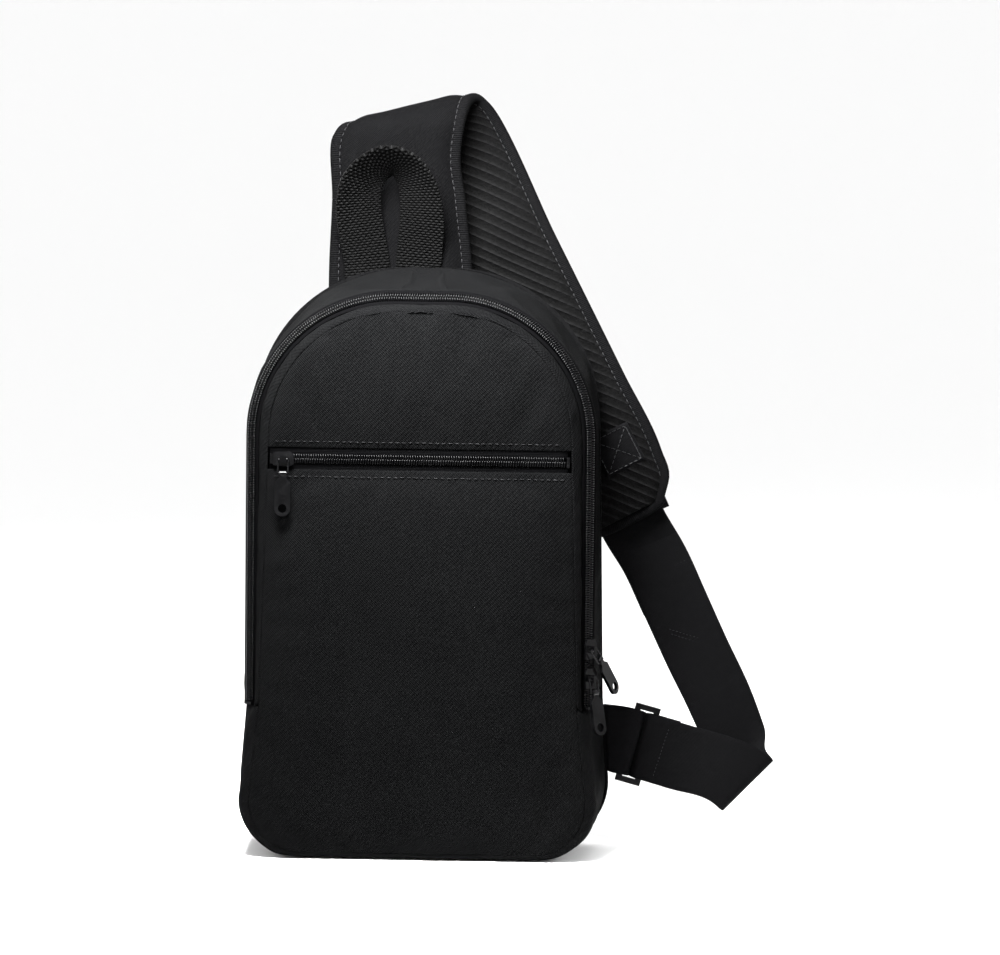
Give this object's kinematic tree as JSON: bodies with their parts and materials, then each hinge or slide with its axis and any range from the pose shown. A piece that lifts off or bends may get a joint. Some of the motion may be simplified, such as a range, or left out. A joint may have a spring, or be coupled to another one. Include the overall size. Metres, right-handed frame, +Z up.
{
  "type": "sling bag",
  "caption": "Upright one-shoulder sling bag with a zipped front pocket, arched main zip, grab handle and folded padded strap on a webbing adjuster.",
  "frame": {"origin": "middle of the flat base, on the ground plane under the bag's case", "axes": "+Z up; -Y is the front with the pocket; +X to the right seen from the front, the side the webbing loop is on"},
  "size_m": [0.2916, 0.1217, 0.4097],
  "materials": {
    "case_fabric": "fine twill weave, matt",
    "lining": "plain lining cloth",
    "spacer_mesh": "spacer mesh",
    "foam": "closed-cell foam",
    "binding": "ribbed binding tape",
    "zip_tape": "woven zip tape",
    "zip_teeth": "nylon coil",
    "zip_metal": "black enamel, worn bright at the edges",
    "webbing": "flat woven webbing",
    "handle_webbing": "coarse basket-weave webbing",
    "buckle_plastic": "moulded, satin"
  },
  "bodies": {
    "bag": {"front_border": "case_fabric", "gusset_upper": "case_fabric", "gusset_lower": "case_fabric", "front_panel_upper": "case_fabric", "front_panel_lower": "case_fabric", "strap_face": "case_fabric", "pocket_back": "lining", "back_lining": "lining", "inner_pocket": "lining", "back_mesh": "spacer_mesh", "strap_mesh": "spacer_mesh", "back_foam": "foam", "strap_foam": "foam", "back_seam_binding": "binding", "front_seam_binding": "binding", "strap_binding": "binding", "main_tape_front": "zip_tape", "main_tape_back": "zip_tape", "pocket_tape_upper": "zip_tape", "pocket_tape_lower": "zip_tape", "main_teeth_front": "zip_teeth", "main_teeth_back": "zip_teeth", "pocket_teeth_upper": "zip_teeth", "pocket_teeth_lower": "zip_teeth", "main_zip_stop_right": "zip_metal", "main_zip_stop_left": "zip_metal", "pocket_zip_stop_right": "zip_metal", "pocket_zip_stop_left": "zip_metal", "long_webbing": "webbing", "anchor_tab": "webbing", "adjuster_tab": "webbing", "strap_patch": "webbing", "grab_handle": "handle_webbing", "side_buckle": "buckle_plastic", "strap_adjuster": "buckle_plastic"},
    "pocket_slider": {"pocket_slider": "zip_metal"},
    "pocket_bail": {"pocket_bail": "zip_metal"},
    "pocket_pull": {"pocket_pull": "zip_metal"},
    "upper_main_slider": {"upper_main_slider": "zip_metal"},
    "upper_main_bail": {"upper_main_bail": "zip_metal"},
    "upper_main_pull": {"upper_main_pull": "zip_metal"},
    "lower_main_slider": {"lower_main_slider": "zip_metal"},
    "lower_main_bail": {"lower_main_bail": "zip_metal"},
    "lower_main_pull": {"lower_main_pull": "zip_metal"}
  },
  "joints": [
    {"name": "pocket_slide", "type": "slide", "parent": "bag", "child": "pocket_slider", "axis": [1, 0, 0], "range_m": [0, 0.146]},
    {"name": "pocket_bail_hinge", "type": "hinge", "parent": "pocket_slider", "child": "pocket_bail", "pos_m": [-0.0731, -0.0437, 0.216], "axis": [-1, 0, 0], "range_deg": [0, 150]},
    {"name": "pocket_pull_hinge", "type": "hinge", "parent": "pocket_bail", "child": "pocket_pull", "pos_m": [-0.0731, -0.04476, 0.20847], "axis": [-1, 0, 0], "range_deg": [0, 35]},
    {"name": "upper_main_slide", "type": "slide", "parent": "bag", "child": "upper_main_slider", "axis": [0, 0, 1], "range_m": [0, 0.105]},
    {"name": "upper_main_bail_hinge", "type": "hinge", "parent": "upper_main_slider", "child": "upper_main_bail", "pos_m": [0.09396, -0.03346, 0.1145], "axis": [-0.2667, -0.7745, -0.5736], "range_deg": [0, 60]},
    {"name": "upper_main_pull_hinge", "type": "hinge", "parent": "upper_main_bail", "child": "upper_main_pull", "pos_m": [0.09754, -0.03031, 0.10858], "axis": [-0.2667, -0.7745, -0.5736], "range_deg": [0, 35]},
    {"name": "lower_main_slide", "type": "slide", "parent": "bag", "child": "lower_main_slider", "axis": [0, 0, 1], "range_m": [-0.0095, 0]},
    {"name": "lower_main_bail_hinge", "type": "hinge", "parent": "lower_main_slider", "child": "lower_main_bail", "pos_m": [0.09396, -0.03346, 0.0988], "axis": [-0.7071, -0.7071, 0], "range_deg": [0, 60]},
    {"name": "lower_main_pull_hinge", "type": "hinge", "parent": "lower_main_bail", "child": "lower_main_pull", "pos_m": [0.09508, -0.03458, 0.09137], "axis": [-0.7071, -0.7071, 0], "range_deg": [0, 35]}
  ]
}
